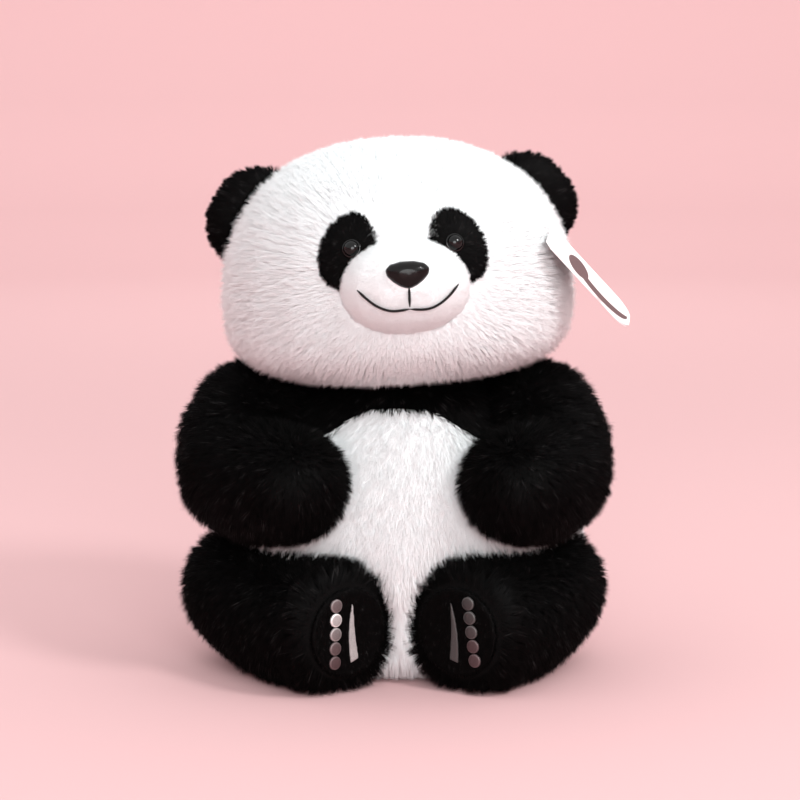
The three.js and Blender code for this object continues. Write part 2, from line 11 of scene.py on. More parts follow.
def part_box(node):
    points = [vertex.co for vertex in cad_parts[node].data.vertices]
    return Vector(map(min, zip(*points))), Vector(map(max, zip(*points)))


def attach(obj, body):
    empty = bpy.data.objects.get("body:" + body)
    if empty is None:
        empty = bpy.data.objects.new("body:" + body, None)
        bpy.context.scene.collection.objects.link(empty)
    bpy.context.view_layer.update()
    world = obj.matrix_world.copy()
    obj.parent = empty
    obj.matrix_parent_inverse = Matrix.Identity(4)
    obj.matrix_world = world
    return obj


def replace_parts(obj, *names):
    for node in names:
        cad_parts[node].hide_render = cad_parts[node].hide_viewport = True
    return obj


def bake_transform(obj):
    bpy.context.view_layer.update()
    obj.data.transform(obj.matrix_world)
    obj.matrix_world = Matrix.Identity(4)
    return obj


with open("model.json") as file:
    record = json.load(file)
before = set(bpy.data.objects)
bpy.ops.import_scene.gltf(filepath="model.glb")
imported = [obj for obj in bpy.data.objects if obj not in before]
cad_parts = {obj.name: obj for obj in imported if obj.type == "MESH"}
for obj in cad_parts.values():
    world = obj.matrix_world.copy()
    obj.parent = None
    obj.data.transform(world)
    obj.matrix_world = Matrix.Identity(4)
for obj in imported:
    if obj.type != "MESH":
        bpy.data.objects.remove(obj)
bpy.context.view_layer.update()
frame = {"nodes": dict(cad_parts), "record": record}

MM = 0.001
SIDES = ("left", "right")

# The camera looks at the middle of the panda from just above its eye level
CAMERA_DISTANCE = 1.5
CAMERA_ELEVATION = 8.5
CAMERA_TARGET = (1.1 * MM, 0, 147 * MM)
CAMERA_LENS = 118.4

# ------------------------------------------------------------------ stage, camera and lights


def node_material(name):
    """A new node material and its Principled shader."""
    material = bpy.data.materials.new(name)
    material.use_nodes = True
    shader = next(n for n in material.node_tree.nodes if n.type == "BSDF_PRINCIPLED")
    return material, shader


def add_node(material, kind, inputs, **settings):
    """A new node with its settings, and its inputs set to values or linked to sockets."""
    tree = material.node_tree
    node = tree.nodes.new(kind)
    for name, value in settings.items():
        setattr(node, name, value)
    for name, value in inputs.items():
        if isinstance(value, bpy.types.NodeSocket):
            tree.links.new(value, node.inputs[name])
        else:
            node.inputs[name].default_value = value
    return node


def colour_ramp(material, share, steps):
    """The colour at a share, from (position, colour) steps."""
    ramp = add_node(material, "ShaderNodeValToRGB", {"Fac": share})
    ends = ramp.color_ramp.elements
    for end, (position, colour) in zip(ends, (steps[0], steps[-1])):
        end.position = position
        end.color = (*colour, 1)
    for position, colour in steps[1:-1]:
        ends.new(position).color = (*colour, 1)
    return ramp.outputs["Color"]


def mixed_colour(material, shader, share, first, second):
    """Gives the shader a base colour between two colours or sockets."""
    mix = add_node(material, "ShaderNodeMix", {"Factor": share, "A": first, "B": second},
                   data_type="RGBA")
    material.node_tree.links.new(mix.outputs["Result"], shader.inputs["Base Color"])


def baked_place(material):
    """The two coordinates of the OFBake map, split."""
    place = add_node(material, "ShaderNodeUVMap", {}, uv_map="OFBake")
    return add_node(material, "ShaderNodeSeparateXYZ", {0: place.outputs["UV"]})


def add_bump(material, shader, height, strength, distance):
    bumps = add_node(material, "ShaderNodeBump",
                     {"Height": height, "Strength": strength, "Distance": distance})
    material.node_tree.links.new(bumps.outputs["Normal"], shader.inputs["Normal"])


def aim(thing, target):
    direction = Vector(target) - thing.location
    thing.rotation_euler = direction.to_track_quat("-Z", "Y").to_euler()


def add_camera():
    camera = bpy.data.objects.new("camera", bpy.data.cameras.new("camera"))
    bpy.context.collection.objects.link(camera)
    up = math.radians(CAMERA_ELEVATION)
    offset = Vector((0, -math.cos(up), math.sin(up))) * CAMERA_DISTANCE
    camera.location = Vector(CAMERA_TARGET) + offset
    aim(camera, CAMERA_TARGET)
    camera.data.lens = CAMERA_LENS
    bpy.context.scene.camera = camera


def add_area_light(name, place, size, watts, colour, target):
    light = bpy.data.lights.new(name, "AREA")
    light.shape = "DISK"
    light.size = size
    light.energy = watts
    light.color = colour
    lamp = bpy.data.objects.new(name, light)
    bpy.context.collection.objects.link(lamp)
    lamp.location = place
    aim(lamp, target)


# The floor is flat out to its first ring, in metres from the middle and above the floor
BOWL_PROFILE = ((2.2, 0.0), (2.6, 0.06), (2.85, 0.22), (3.0, 0.55), (3.05, 1.3))
BOWL_SIDES = 96
PAPER_PINK = (0.625, 0.404, 0.409, 1)
SKY_COLOUR = (0.985, 0.995, 1.0, 1)
SKY_STRENGTH = 1.32
# Name, place, size, watts, colour and the point it is aimed at
LIGHTS = (
    ("key", (1.6, -1.4, 1.9), 0.65, 34, (1.0, 0.998, 0.995), (0, 0, 0.13)),
    ("fill", (0.3, -2.8, 1.0), 1.8, 58, (0.96, 0.998, 1.0), (0, 0, 0.13)),
    ("backdrop_wash", (0, 1.7, 1.2), 1.0, 4.5, (1.0, 1.0, 1.0), (0, 2.9, 0.3)),
)


def add_stage():
    """A pale floor that curves up into its backdrop all round, and soft studio light."""
    bowl = bmesh.new()
    angles = [2 * math.pi * i / BOWL_SIDES for i in range(BOWL_SIDES)]
    rings = [
        [bowl.verts.new((radius * math.cos(a), radius * math.sin(a), height)) for a in angles]
        for radius, height in BOWL_PROFILE
    ]
    centre = bowl.verts.new((0, 0, 0))
    for i in range(BOWL_SIDES):
        after = (i + 1) % BOWL_SIDES
        bowl.faces.new((centre, rings[0][i], rings[0][after]))
        for inner, outer in zip(rings, rings[1:]):
            bowl.faces.new((inner[i], outer[i], outer[after], inner[after]))
    mesh = bpy.data.meshes.new("backdrop")
    bowl.to_mesh(mesh)
    bowl.free()
    mesh.shade_smooth()
    backdrop = bpy.data.objects.new("backdrop", mesh)
    bpy.context.collection.objects.link(backdrop)
    material, shader = node_material("backdrop_paper")
    shader.inputs["Base Color"].default_value = PAPER_PINK
    shader.inputs["Roughness"].default_value = 1.0
    shader.inputs["Specular IOR Level"].default_value = 0.0
    mesh.materials.append(material)

    world = bpy.data.worlds.new("studio")
    bpy.context.scene.world = world
    world.use_nodes = True
    background = world.node_tree.nodes["Background"]
    background.inputs["Color"].default_value = SKY_COLOUR
    background.inputs["Strength"].default_value = SKY_STRENGTH
    for light in LIGHTS:
        add_area_light(*light)
    bpy.context.scene.view_settings.view_transform = "Standard"


add_camera()
add_stage()

# ------------------------------------------------------------------ mesh tools


def new_piece(name, mesh, body, material):
    """Links a finished mesh as a piece that rides on a body."""
    piece = bpy.data.objects.new(name, mesh)
    bpy.context.collection.objects.link(piece)
    if material is not None:
        mesh.materials.clear()
        mesh.materials.append(material)
    if body:
        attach(piece, body)
    return piece


def joined_copy(name, nodes):
    """One mesh with the vertices of several CAD nodes."""
    joined = bmesh.new()
    for node in nodes:
        source = frame["nodes"][node]
        part = source.data.copy()
        part.transform(source.matrix_world)
        joined.from_mesh(part)
        bpy.data.meshes.remove(part)
    mesh = bpy.data.meshes.new(name)
    joined.to_mesh(mesh)
    joined.free()
    return mesh


def hull_of(name, nodes):
    """The tight convex wrapping of CAD nodes: their outside, with no cavities."""
    mesh = joined_copy(name, nodes)
    wrap = bmesh.new()
    wrap.from_mesh(mesh)
    result = bmesh.ops.convex_hull(wrap, input=wrap.verts)
    kept = {item for item in result["geom"] if isinstance(item, bmesh.types.BMFace)}
    bmesh.ops.delete(wrap, geom=[f for f in wrap.faces if f not in kept], context="FACES")
    bmesh.ops.delete(wrap, geom=[v for v in wrap.verts if not v.link_faces], context="VERTS")
    bmesh.ops.recalc_face_normals(wrap, faces=wrap.faces)
    wrap.to_mesh(mesh)
    wrap.free()
    return mesh


def keep_outer_shell(mesh):
    """Drops the closed pockets that a remesh leaves inside a hollow solid."""
    shells = bmesh.new()
    shells.from_mesh(mesh)
    waiting, groups = set(shells.verts), []
    while waiting:
        group, edge = set(), [waiting.pop()]
        while edge:
            vert = edge.pop()
            group.add(vert)
            for link in vert.link_edges:
                other = link.other_vert(vert)
                if other in waiting:
                    waiting.remove(other)
                    edge.append(other)
        groups.append(group)
    widest = max(groups, key=lambda g: max(v.co.x for v in g) - min(v.co.x for v in g))
    inner = [vert for group in groups if group is not widest for vert in group]
    bmesh.ops.delete(shells, geom=inner, context="VERTS")
    shells.to_mesh(mesh)
    shells.free()


def tree_of(*meshes):
    """A search tree over meshes, for the distance to their surfaces."""
    points, faces = [], []
    for mesh in meshes:
        faces += [tuple(i + len(points) for i in f.vertices) for f in mesh.polygons]
        points += [v.co.copy() for v in mesh.vertices]
    low, high = (np.array([f(p[k] for p in points) for k in range(3)]) for f in (min, max))
    return BVHTree.FromPolygons(points, faces), low, high


def gaps_to(points, tree, reach):
    """Signed distance from points to a closed surface, negative inside; far points keep reach."""
    surface, low, high = tree
    gaps = np.full(len(points), reach)
    near = np.flatnonzero(np.all((points > low - reach) & (points < high + reach), axis=1))
    for i in near:
        place, normal, _, distance = surface.find_nearest(Vector(points[i]))
        inside = (Vector(points[i]) - place).dot(normal) < 0
        gaps[i] = -distance if inside else min(distance, reach)
    return gaps


def applied(mesh, set_up):
    """The mesh after modifiers that set_up adds to an object holding it."""
    holder = bpy.data.objects.new(mesh.name + "_holder", mesh)
    bpy.context.collection.objects.link(holder)
    set_up(holder)
    bpy.context.view_layer.update()
    seen = holder.evaluated_get(bpy.context.evaluated_depsgraph_get())
    result = bpy.data.meshes.new_from_object(seen)
    name = mesh.name
    bpy.data.objects.remove(holder)
    bpy.data.meshes.remove(mesh)
    result.name = name
    return result


def remeshed(mesh, voxel, smoothing):
    def set_up(holder):
        remesh = holder.modifiers.new("remesh", "REMESH")
        remesh.mode = "VOXEL"
        remesh.voxel_size = voxel
        smooth = holder.modifiers.new("smooth", "SMOOTH")
        smooth.factor = 0.6
        smooth.iterations = smoothing
    return applied(mesh, set_up)


def points_of(mesh):
    flat = np.empty(len(mesh.vertices) * 3)
    mesh.vertices.foreach_get("co", flat)
    return flat.reshape(-1, 3)


def set_points(mesh, points):
    mesh.vertices.foreach_set("co", np.ascontiguousarray(points).ravel())
    mesh.update()


def normals_of(mesh):
    flat = np.empty(len(mesh.vertices) * 3)
    mesh.vertex_normals.foreach_get("vector", flat)
    return flat.reshape(-1, 3)


def triangles_of(mesh):
    mesh.calc_loop_triangles()
    flat = np.empty(len(mesh.loop_triangles) * 3, dtype=np.int32)
    mesh.loop_triangles.foreach_get("vertices", flat)
    return flat.reshape(-1, 3)


def unit(vectors):
    lengths = np.linalg.norm(vectors, axis=-1, keepdims=True)
    return vectors / np.maximum(lengths, 1e-12)


def smoothstep(values, low, high):
    share = np.clip((values - low) / (high - low), 0, 1)
    return share * share * (3 - 2 * share)


def lumps(points, size, seed):
    """Smooth noise from a few sine waves in seeded directions, about -1 to 1."""
    rng = np.random.default_rng(seed)
    total = np.zeros(len(points))
    waves = 7
    for _ in range(waves):
        direction = unit(rng.normal(size=3))
        total += np.sin(points @ direction * (2 * math.pi / size) * rng.uniform(0.6, 1.5)
                        + rng.uniform(0, 2 * math.pi))
    return total / math.sqrt(waves)


# ------------------------------------------------------------------ fur


def cell_hash(cells, channel, seed):
    """A repeatable random number from 0 to 1 for every whole-number cell."""
    value = (cells[:, 0] * 73856093) ^ (cells[:, 1] * 19349663) ^ (cells[:, 2] * 83492791)
    value = (value + channel * 2654435761 + seed * 97531) & 0xFFFFFFFF
    value = ((value >> 16) ^ value) * 0x45D9F3B & 0xFFFFFFFF
    value = ((value >> 16) ^ value) * 0x45D9F3B & 0xFFFFFFFF
    value = (value >> 16) ^ value
    return value / 0xFFFFFFFF


def nearest_tuft(points, size, seed):
    """The centre of the tuft each point belongs to, and that tuft's cell."""
    home = np.floor(points / size).astype(np.int64)
    best = np.full(len(points), np.inf)
    centre = np.zeros_like(points)
    cell = np.zeros_like(home)
    for dx in (-1, 0, 1):
        for dy in (-1, 0, 1):
            for dz in (-1, 0, 1):
                near = home + np.array((dx, dy, dz))
                jitter = np.stack([cell_hash(near, k, seed) for k in range(3)], axis=1)
                place = (near + jitter) * size
                gap = np.sum((place - points) ** 2, axis=1)
                closer = gap < best
                best[closer] = gap[closer]
                centre[closer] = place[closer]
                cell[closer] = near[closer]
    return centre, cell


def scatter(mesh, count, rng):
    """Seeded random points on a mesh, with their smooth normals."""
    points = points_of(mesh)
    normals = normals_of(mesh)
    corners = triangles_of(mesh)
    a, b, c = (points[corners[:, k]] for k in range(3))
    area = np.linalg.norm(np.cross(b - a, c - a), axis=1)
    chosen = rng.choice(len(corners), size=count, p=area / area.sum())
    u, v = rng.random(count), rng.random(count)
    flip = u + v > 1
    u[flip], v[flip] = 1 - u[flip], 1 - v[flip]
    share = np.stack([1 - u - v, u, v], axis=1)[:, :, None]
    where = np.sum(points[corners[chosen]] * share, axis=1)
    facing = unit(np.sum(normals[corners[chosen]] * share, axis=1))
    return where, facing


LOWEST_STRAND = 0.0008  # no strand comes nearer the floor
SURFACE_SHARE = 0.8  # how far a strand is shaded as the surface that it stands on


def strand_mesh(name, where, facing, comb, seed, length, lean, width, tuft, clump,
                jitter=0.25, droop=0.0):
    """A pile of thin three-sided strands that taper to their tips, and lean along the comb
    direction and towards their tuft."""
    rng = np.random.default_rng(seed)
    count = len(where)
    centre, cell = nearest_tuft(where, tuft, seed)
    tuft_random = np.stack([cell_hash(cell, 5 + k, seed) for k in range(5)], axis=1)
    flat_comb = comb - facing * np.sum(comb * facing, axis=1, keepdims=True)
    flat_comb = unit(flat_comb)
    across = np.cross(facing, flat_comb)
    swing = (tuft_random[:, :1] - 0.5) * 2 * jitter * 2.2
    lean_here = lean * (0.75 + 0.5 * tuft_random[:, 1:2])
    start = unit(facing + flat_comb * lean_here * 0.55 + across * swing * 0.5
                 + rng.normal(size=(count, 3)) * jitter * 0.35)
    finish = unit(facing * 0.8 + flat_comb * lean_here * 1.5 + across * swing
                  + rng.normal(size=(count, 3)) * jitter * 0.6 + np.array((0, 0, -droop)))
    reach = length * (0.72 + 0.36 * tuft_random[:, 2:3] + 0.22 * (rng.random((count, 1)) - 0.5))
    tip = where + start * reach * 0.5 + finish * reach * 0.55
    # Gather towards the tuft's own strand, which stands on the tuft's centre
    foot = centre - facing * np.sum((centre - where) * facing, axis=1, keepdims=True)
    tip = tip + (foot - where) * clump * (0.8 + 0.4 * tuft_random[:, 3:4])
    root = where - facing * 0.0004
    for spots in (root, tip):
        spots[:, 2] = np.maximum(spots[:, 2], LOWEST_STRAND)
    along = unit(tip - root)
    side = unit(np.cross(along, facing + rng.normal(size=(count, 3)) * 0.45))
    rise = np.cross(along, side)
    half = width * 0.5 * (0.75 + 0.5 * rng.random((count, 1)))
    points = np.empty((count, 4, 3), dtype=np.float32)
    normals = np.empty((count, 4, 3), dtype=np.float32)
    for corner in range(3):
        turn = 2 * math.pi * corner / 3
        out = side * math.cos(turn) + rise * math.sin(turn)
        points[:, corner] = root + out * half
        normals[:, corner] = unit(facing * SURFACE_SHARE + out * (1 - SURFACE_SHARE))
    points[:, 3] = tip
    normals[:, 3] = facing

    mesh = bpy.data.meshes.new(name)
    mesh.vertices.add(count * 4)
    mesh.vertices.foreach_set("co", points.ravel())
    base = (np.arange(count) * 4)[:, None]
    corner_order = base + np.array((0, 1, 3, 1, 2, 3, 2, 0, 3))
    mesh.loops.add(count * 9)
    mesh.loops.foreach_set("vertex_index", corner_order.ravel().astype(np.int32))
    mesh.polygons.add(count * 3)
    mesh.polygons.foreach_set("loop_start", (np.arange(count * 3) * 3).astype(np.int32))
    mesh.update(calc_edges=True)
    mesh.shade_smooth()
    # The baked map is one tile for all strands: across it each strand's own tone, up it its length
    tone = np.clip(0.55 * tuft_random[:, 4:5] + 0.45 * rng.random((count, 1)), 0.004, 0.996)
    spread = 0.003 * np.array((-1, 1, 0, -1, 1, 0, -1, 1, 0))
    height = np.array((0.01, 0.01, 0.99) * 3)
    uv = np.stack([tone + spread, np.broadcast_to(height, (count, 9))], axis=2)
    layer = mesh.uv_layers.new(name="OFBake")
    layer.uv.foreach_set("vector", uv.astype(np.float32).ravel())
    custom = mesh.attributes.new("custom_normal", "FLOAT_VECTOR", "POINT")
    custom.data.foreach_set("vector", normals.ravel())
    return mesh


def fur_material(name, roots, tips, roughness, sheen, gloss):
    """Strand colour from root to tip, between a dark and a light strand tone."""
    material, shader = node_material(name)
    place = baked_place(material)
    tones = [colour_ramp(material, place.outputs["X"], steps) for steps in (roots, tips)]
    rise = add_node(material, "ShaderNodeMapRange",
                    {"Value": place.outputs["Y"], "From Min": 0.1, "From Max": 0.95})
    mixed_colour(material, shader, rise.outputs["Result"], *tones)
    shader.inputs["Roughness"].default_value = roughness
    shader.inputs["Sheen Weight"].default_value = sheen
    shader.inputs["Sheen Roughness"].default_value = 0.4
    shader.inputs["Specular IOR Level"].default_value = gloss
    return material


KNIT_SCALE = 420


def backing_material(name, dark, light):
    """The knitted backing and the short underpile between the strands."""
    material, shader = node_material(name)
    place = add_node(material, "ShaderNodeTexCoord", {}).outputs["Object"]
    noise = add_node(material, "ShaderNodeTexNoise",
                     {"Vector": place, "Scale": KNIT_SCALE, "Detail": 4})
    colour = colour_ramp(material, noise.outputs["Fac"], [(0.35, dark), (0.65, light)])
    material.node_tree.links.new(colour, shader.inputs["Base Color"])
    knots = add_node(material, "ShaderNodeTexVoronoi", {"Vector": place, "Scale": KNIT_SCALE * 3})
    add_bump(material, shader, knots.outputs["Distance"], strength=0.3, distance=0.0006)
    shader.inputs["Roughness"].default_value = 0.9
    shader.inputs["Specular IOR Level"].default_value = 0.1
    return material


WHITE_FUR = fur_material(
    "white_fur",
    [(0.0, (0.86, 0.91, 0.915)), (1.0, (0.91, 0.955, 0.96))],
    [(0.0, (0.90, 0.945, 0.95)), (1.0, (0.94, 0.98, 0.985))],
    roughness=0.8, sheen=0.1, gloss=0.3,
)
# Black fur: the light grey tips of the few strands whose tone is near the top of the ramp are
# painted sheen.
BLACK_FUR = fur_material(
    "black_fur",
    [(0.0, (0.0004, 0.0003, 0.0003)), (1.0, (0.001, 0.0009, 0.0009))],
    [(0.0, (0.0006, 0.0005, 0.0005)), (0.7, (0.0018, 0.0015, 0.0015)),
     (0.88, (0.006, 0.0052, 0.0052)), (1.0, (0.085, 0.080, 0.080))],
    roughness=0.55, sheen=0.0, gloss=0.06,
)
WHITE_BACKING = backing_material("white_backing", (0.85, 0.89, 0.895), (0.91, 0.95, 0.955))
BLACK_BACKING = backing_material("black_backing", (0.0005, 0.0004, 0.0004),
                                 (0.0015, 0.0012, 0.0012))

# ------------------------------------------------------------------ skins and their fur

TRIANGLES_PER_STRAND = 3
MOST_TRIANGLES = 190000

# How the long white and the long black plush lie: strand sizes in metres
LONG_WHITE = {"lean": 1.0, "width": 0.00036, "tuft": 0.0019, "clump": 0.25, "jitter": 0.19}
LONG_BLACK = {"lean": 0.8, "width": 0.0004, "tuft": 0.0024, "clump": 0.45, "jitter": 0.3}


def add_fur(name, skin_mesh, count, comb, body, slot, material, seed, length, blend=None,
            keep_off=(), scale=None, **shape):
    """Grows a pile on a skin, in as many pieces as the triangle limit asks for. keep_off holds
    (tree, margin) pairs: no strand grows from inside them or nearer than the margin. scale
    gives each strand's share of the length."""
    rng = np.random.default_rng(seed)
    where, facing = scatter(skin_mesh, count, rng)
    kept = np.ones(count, dtype=bool)
    for tree, margin in keep_off:
        kept &= gaps_to(where, tree, margin + 0.001) > margin
    where, facing = where[kept], facing[kept]
    count = len(where)
    directions = comb(where)
    shares = scale(where) if scale else np.ones(count)
    parts = math.ceil(count * TRIANGLES_PER_STRAND / MOST_TRIANGLES)
    for part in range(parts):
        some = slice(part * count // parts, (part + 1) * count // parts)
        label = f"{name}_{part + 1}" if parts > 1 else name
        mesh = strand_mesh(label, where[some], facing[some], directions[some], seed,
                           length * shares[some, None], **shape)
        piece = new_piece(label, mesh, None if blend else body, material)
        if blend:
            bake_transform(piece)


def outer_skin(name, nodes, voxel, smoothing, grow, convex=False):
    """A soft closed skin at the outside of CAD solids: remeshed, smoothed and grown a little."""
    mesh = hull_of(name, nodes) if convex else joined_copy(name, nodes)
    mesh = remeshed(mesh, voxel, smoothing)
    if not convex:
        keep_outer_shell(mesh)
    points = points_of(mesh) + normals_of(mesh) * grow
    points[:, 2] = np.maximum(points[:, 2], 0.0)
    set_points(mesh, points)
    mesh.shade_smooth()
    return mesh


def puffed(mesh, held, most, frames=12):
    """The cover blown out by its stuffing: a pressurised cloth, held where it is sewn. held is
    0 where the cloth is free and 1 at a seam; no point moves further than most."""
    start = points_of(mesh)
    holder = bpy.data.objects.new(mesh.name + "_cloth", mesh.copy())
    bpy.context.collection.objects.link(holder)
    group = holder.vertex_groups.new(name="sewn")
    for i in np.flatnonzero(held > 0.02):
        group.add([int(i)], float(held[i]), "REPLACE")
    cloth = holder.modifiers.new("cloth", "CLOTH")
    cloth.settings.quality = 4
    cloth.settings.mass = 0.3
    cloth.settings.tension_stiffness = cloth.settings.compression_stiffness = 12
    cloth.settings.bending_stiffness = 0.6
    cloth.settings.use_pressure = True
    cloth.settings.uniform_pressure_force = 4
    cloth.settings.vertex_group_mass = "sewn"
    cloth.settings.effector_weights.gravity = 0
    cloth.collision_settings.use_collision = False
    cloth.point_cache.frame_start, cloth.point_cache.frame_end = 1, frames
    scene = bpy.context.scene
    for step in range(1, frames + 1):
        scene.frame_set(step)
    seen = holder.evaluated_get(bpy.context.evaluated_depsgraph_get())
    moved = points_of(seen.data) - start
    scene.frame_set(1)
    cloth_mesh = holder.data
    bpy.data.objects.remove(holder)
    bpy.data.meshes.remove(cloth_mesh)
    reach = np.linalg.norm(moved, axis=1, keepdims=True)
    points = start + moved * np.minimum(1, most / np.maximum(reach, 1e-9))
    points[:, 2] = np.maximum(points[:, 2], 0.0)
    set_points(mesh, points)
    return mesh


def held_near(mesh, trees, margin=0.011):
    """How firmly each point is held: fully at the pieces sewn to it, and freely away from them."""
    points = points_of(mesh)
    gap = np.full(len(points), margin)
    for tree in trees:
        gap = np.minimum(gap, gaps_to(points, tree, margin))
    return 1 - smoothstep(gap, 0.003, margin)


def middle(node):
    low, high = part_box(node)
    return (np.array(low) + np.array(high)) / 2


def add_skin(name, mesh, replaced, body, material, blend=None):
    skin = new_piece(name, mesh, None if blend else body, material)
    if blend:
        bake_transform(skin)
    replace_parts(skin, replaced)
    return skin


def hull_tree(*nodes):
    """Distance tree of the outside of some roundish CAD nodes."""
    meshes = [hull_of(node + "_hull", [node]) for node in nodes]
    tree = tree_of(*meshes)
    for mesh in meshes:
        bpy.data.meshes.remove(mesh)
    return tree


# ------------------------------------------------------------------ skins

head_mesh = outer_skin("head_skin", ["head_cover"], voxel=0.004, smoothing=10, grow=0.0012,
                       convex=True)
muzzle_mesh = outer_skin("muzzle_skin", ["muzzle_cover"], voxel=0.002, smoothing=8, grow=0.0006,
                         convex=True)
torso_mesh = outer_skin(
    "torso_skin", ["torso_cover", "shoulder_yoke", "torso_stuffing", "neck_stuffing"],
    voxel=0.004, smoothing=8, grow=0.0008,
)
limb_meshes = {
    name: outer_skin(f"{name}_skin", [f"{name}_cover", f"{name}_stuffing"],
                     voxel=0.003, smoothing=8, grow=0.0008)
    for name in (f"{side}_{limb}" for side in SIDES for limb in ("arm", "leg"))
}
ear_meshes = {
    name: outer_skin(f"{name}_skin", [f"{name}_cover", f"{name}_wadding"],
                     voxel=0.002, smoothing=6, grow=0.0006)
    for name in (f"{side}_ear" for side in SIDES)
}


def corner_drop(points):
    """How far the yoke's front edge rounds down towards each arm."""
    front = 1 - smoothstep(points[:, 1], -0.01, 0.02)
    return 0.017 * smoothstep(np.abs(points[:, 0]), 0.012, 0.05) * front


def raise_corners(mesh, share):
    points = points_of(mesh)
    points[:, 2] += corner_drop(points) * share
    set_points(mesh, points)


YOKE_RUN = 0.128  # how far back the cut falls from the torso's top to the yoke's lowest edge


def split_at_yoke(mesh):
    """The torso's white part and its black yoke, cut on the CAD's plane but for the rounded
    front corners, which are raised to it for the cut."""
    yoke_low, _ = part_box("shoulder_yoke")
    torso_low, torso_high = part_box("torso_cover")
    front = np.array((0, torso_low[1] + 0.027, torso_high[2] + 0.0002))
    slope = math.atan2(torso_high[2] - yoke_low[2], YOKE_RUN)
    facing = Vector((0, math.sin(slope), math.cos(slope)))
    halves = []
    raise_corners(mesh, 1)
    for name, above in (("torso_cover_skin", False), ("shoulder_yoke_skin", True)):
        half = bmesh.new()
        half.from_mesh(mesh)
        geom = list(half.verts) + list(half.edges) + list(half.faces)
        bmesh.ops.bisect_plane(half, geom=geom, plane_co=Vector(front), plane_no=facing,
                               clear_outer=not above, clear_inner=above)
        part = bpy.data.meshes.new(name)
        half.to_mesh(part)
        half.free()
        raise_corners(part, -1)
        part.shade_smooth()
        halves.append(part)
    return halves


muzzle_tree = tree_of(muzzle_mesh)
torso_tree = tree_of(torso_mesh)
limb_trees = {name: tree_of(mesh) for name, mesh in limb_meshes.items()}
ear_trees = [tree_of(mesh) for mesh in ear_meshes.values()]
patch_trees = {side: hull_tree(f"{side}_eye_patch") for side in SIDES}
eye_trees = {side: hull_tree(f"{side}_eye") for side in SIDES}
sole_trees = {side: hull_tree(f"{side}_foot_sole") for side in SIDES}
nose_tree = hull_tree("nose")

# Each cover swells between the places where it is sewn to its neighbours, by these at most
BODY_SWELL = 0.0016
LIMB_SWELL = 0.0010
sewn_to_head = [muzzle_tree, torso_tree, nose_tree, *patch_trees.values(), *ear_trees]
puffed(head_mesh, held_near(head_mesh, sewn_to_head), BODY_SWELL)
head_tree = tree_of(head_mesh)
puffed(torso_mesh, held_near(torso_mesh, [*limb_trees.values(), head_tree]), BODY_SWELL)
for side in SIDES:
    arm_mesh, leg_mesh = limb_meshes[f"{side}_arm"], limb_meshes[f"{side}_leg"]
    puffed(arm_mesh, held_near(arm_mesh, [torso_tree]), LIMB_SWELL)
    puffed(leg_mesh, held_near(leg_mesh, [torso_tree, sole_trees[side]]), LIMB_SWELL)
torso_tree = tree_of(torso_mesh)
limb_trees = {name: tree_of(mesh) for name, mesh in limb_meshes.items()}
white_mesh, yoke_mesh = split_at_yoke(torso_mesh)


def arm_blend(side):
    out = -1 if side == "left" else 1
    return ("body", f"{side}_arm", (out * 0.056, 0.022, 0.150), (out * 0.084, -0.014, 0.132))


# ------------------------------------------------------------------ combing

nose_point = middle("nose")
head_middle = middle("head_cover")


def head_comb(points):
    """Away from the nose over the face, and down the back."""
    away = unit(points - nose_point)
    back = smoothstep(points[:, 1], head_middle[1] - 0.01, head_middle[1] + 0.06)[:, None]
    return away * (1 - back) + back * np.array((0, 0.2, -1.0)) + np.array((0, 0, -0.10))


def down_comb(points):
    away = unit(points * np.array((1, 1, 0)))
    return away * 0.35 + np.array((0, 0, -1.0))


def leg_comb(side):
    hip, toe = middle(f"{side}_leg_cover"), middle(f"{side}_foot_sole")
    way = unit(toe - hip)

    def comb(points):
        along = (points - toe) @ way
        out = points - toe - along[:, None] * way
        near = smoothstep(along, -0.035, 0.0)[:, None]
        return (way * 0.5 + np.array((0, 0, -0.6))) * (1 - near) + unit(out) * near
    return comb


def outwards_from(centre, lift=0.0):
    return lambda points: unit(points - centre) + np.array((0, 0, lift))


# ------------------------------------------------------------------ head

add_skin("head_skin", head_mesh, "head_cover", "head", WHITE_BACKING)


def head_scale(points):
    """Shorter fur near the muzzle and the eye patches, and longer at the cheeks."""
    reach = np.linalg.norm(points - nose_point, axis=1)
    crown = smoothstep(points[:, 2], head_middle[2] + 0.035, head_middle[2] + 0.06)
    return (0.5 + 0.5 * smoothstep(reach, 0.035, 0.07)) * (1 - 0.3 * crown)


head_keep_off = [(muzzle_tree, 0.0004), (nose_tree, 0.001)]
head_keep_off += [(tree, 0.0008) for tree in patch_trees.values()]
head_keep_off += [(tree, 0.0015) for tree in ear_trees]
add_fur("head_fur", head_mesh, 240000, head_comb, "head", "white_plush", WHITE_FUR, seed=11,
        length=0.0100, keep_off=head_keep_off, scale=head_scale, **LONG_WHITE)

add_skin("muzzle_skin", muzzle_mesh, "muzzle_cover", "head", WHITE_BACKING)
STITCHES = ("centre", "left", "right")
mouth_tree = tree_of(*[joined_copy("mouth_" + part, ["mouth_stitch_" + part]) for part in STITCHES])
add_fur("muzzle_fur", muzzle_mesh, 60000, outwards_from(nose_point), "head", "short_white_plush",
        WHITE_FUR, seed=12, length=0.0026,
        keep_off=[(head_tree, -0.004), (nose_tree, 0.0006), (mouth_tree, 0.0004)],
        lean=1.2, width=0.0002, tuft=0.0014, clump=0.15, jitter=0.12)

